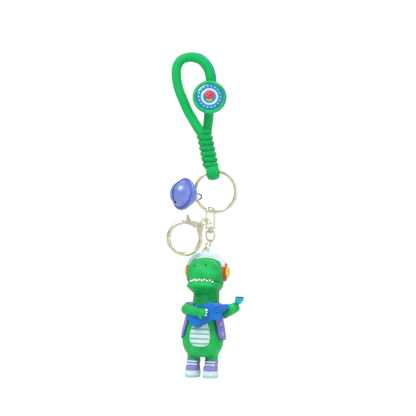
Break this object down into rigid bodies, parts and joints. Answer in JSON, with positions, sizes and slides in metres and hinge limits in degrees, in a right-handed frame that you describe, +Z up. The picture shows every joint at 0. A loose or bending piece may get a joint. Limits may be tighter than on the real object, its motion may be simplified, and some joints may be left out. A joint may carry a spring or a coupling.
{
  "type": "figure keychain",
  "caption": "Cord wrist strap with a split ring, a bell, a round lever clasp and a small moulded dinosaur figure hanging from a swivel.",
  "frame": {"origin": "inside the top of the strap's loop, where a finger or a hook carries it", "axes": "+Z up along the hanging keychain, +Y towards its back, +X to the right seen from the front"},
  "size_m": [0.0503, 0.0394, 0.2115],
  "materials": {
    "cord_green": "woven",
    "badge_green": "satin",
    "badge_blue": "glossy",
    "motif_red": "glossy",
    "pale": "matte",
    "ring_steel": "polished",
    "bell_lacquer": "gloss",
    "figure_green": "matte",
    "band_clear": "satin",
    "cushion_red": "satin",
    "cup_yellow": "satin",
    "eye_black": "glossy",
    "vest_purple": "matte",
    "guitar_blue": "satin",
    "headstock_teal": "satin",
    "spring_steel": "plain"
  },
  "bodies": {
    "strap": {"strap_cord": "cord_green", "cord_wrap": "cord_green", "ring_bight": "cord_green"},
    "badge": {"badge_housing": "badge_green", "badge_sleeve": "badge_green", "badge_disc": "badge_blue", "badge_flower": "motif_red", "badge_beads": "pale"},
    "split_ring": {"split_ring": "ring_steel"},
    "bell": {"bell_slotted_shell": "bell_lacquer", "bell_loop_shell": "bell_lacquer", "bell_loop": "bell_lacquer"},
    "clapper": {"bell_clapper": "ring_steel"},
    "upper_swivel": {"upper_shackle": "ring_steel"},
    "lower_swivel": {"lower_shackle": "ring_steel", "swivel_collar": "ring_steel", "swivel_pin": "ring_steel"},
    "side_ring": {"side_ring": "ring_steel"},
    "clasp": {"clasp_hook": "ring_steel", "lever_pin": "ring_steel", "lever_spring": "spring_steel"},
    "lever": {"clasp_lever": "ring_steel"},
    "jump_ring": {"figure_jump_ring": "ring_steel"},
    "figure": {"headband": "band_clear", "ear_cushion_left": "cushion_red", "ear_cushion_right": "cushion_red", "ear_cup_left": "cup_yellow", "ear_cup_right": "cup_yellow", "head": "figure_green", "lower_jaw": "figure_green", "eyes": "eye_black", "upper_teeth": "pale", "lower_teeth": "pale", "torso": "figure_green", "belly_panel": "pale", "belly_waves": "figure_green", "tail": "figure_green", "left_leg": "figure_green", "right_leg": "figure_green", "left_arm": "figure_green", "right_arm": "figure_green", "left_claws": "pale", "right_claws": "pale", "vest_back": "vest_purple", "vest_front_left": "vest_purple", "vest_front_right": "vest_purple", "sleeve_left": "vest_purple", "sleeve_right": "vest_purple", "guitar_body": "guitar_blue", "guitar_neck": "guitar_blue", "guitar_headstock": "headstock_teal", "shoe_upper_left": "vest_purple", "shoe_upper_right": "vest_purple", "shoe_sole_left": "pale", "shoe_sole_right": "pale", "shoe_laces": "pale"}
  },
  "joints": [
    {"name": "badge_slide", "type": "slide", "parent": "strap", "child": "badge", "axis": [0.045, 0, 0.999], "range_m": [-0.006, 0.004]},
    {"name": "ring_swing", "type": "hinge", "parent": "strap", "child": "split_ring", "pos_m": [0.01351, 0, -0.07067], "axis": [-0.9907, 0, -0.1357], "range_deg": [-75, 75]},
    {"name": "bell_swing", "type": "hinge", "parent": "split_ring", "child": "bell", "pos_m": [0.00277, 0, -0.0877], "axis": [0.3039, 0, -0.9527], "range_deg": [-40, 40]},
    {"name": "clapper_rattle", "type": "slide", "parent": "bell", "child": "clapper", "axis": [0, 0, 1], "range_m": [0, 0.006]},
    {"name": "shackle_swing", "type": "hinge", "parent": "split_ring", "child": "upper_swivel", "pos_m": [0.012, 0, -0.09643], "axis": [0.968, 0, -0.251], "range_deg": [-12, 50]},
    {"name": "swivel_spin", "type": "hinge", "parent": "upper_swivel", "child": "lower_swivel", "pos_m": [0.012, 0, -0.108], "axis": [0, 0, 1], "continuous": true},
    {"name": "side_ring_turn", "type": "hinge", "parent": "upper_swivel", "child": "side_ring", "pos_m": [0.00943, -0.00215, -0.1031], "axis": [0, 0, 1], "range_deg": [-5, 25]},
    {"name": "clasp_swing", "type": "hinge", "parent": "side_ring", "child": "clasp", "pos_m": [0.00827, -0.00323, -0.1031], "axis": [0, 1, 0], "range_deg": [0, 15]},
    {"name": "lever_open", "type": "hinge", "parent": "clasp", "child": "lever", "pos_m": [0.00477, -0.00323, -0.1055], "axis": [0, -1, 0], "range_deg": [0, 16], "stiffness_Nm_per_rad": 0.012, "springref_deg": -20.05},
    {"name": "jump_ring_swing", "type": "hinge", "parent": "lower_swivel", "child": "jump_ring", "pos_m": [0.012, 0, -0.11582], "axis": [0.766, -0.6428, 0], "range_deg": [-8, 25]},
    {"name": "figure_swing", "type": "hinge", "parent": "jump_ring", "child": "figure", "pos_m": [0.00933, 0, -0.12158], "axis": [0.2826, 0.9537, -0.1028], "range_deg": [-45, 8]}
  ]
}
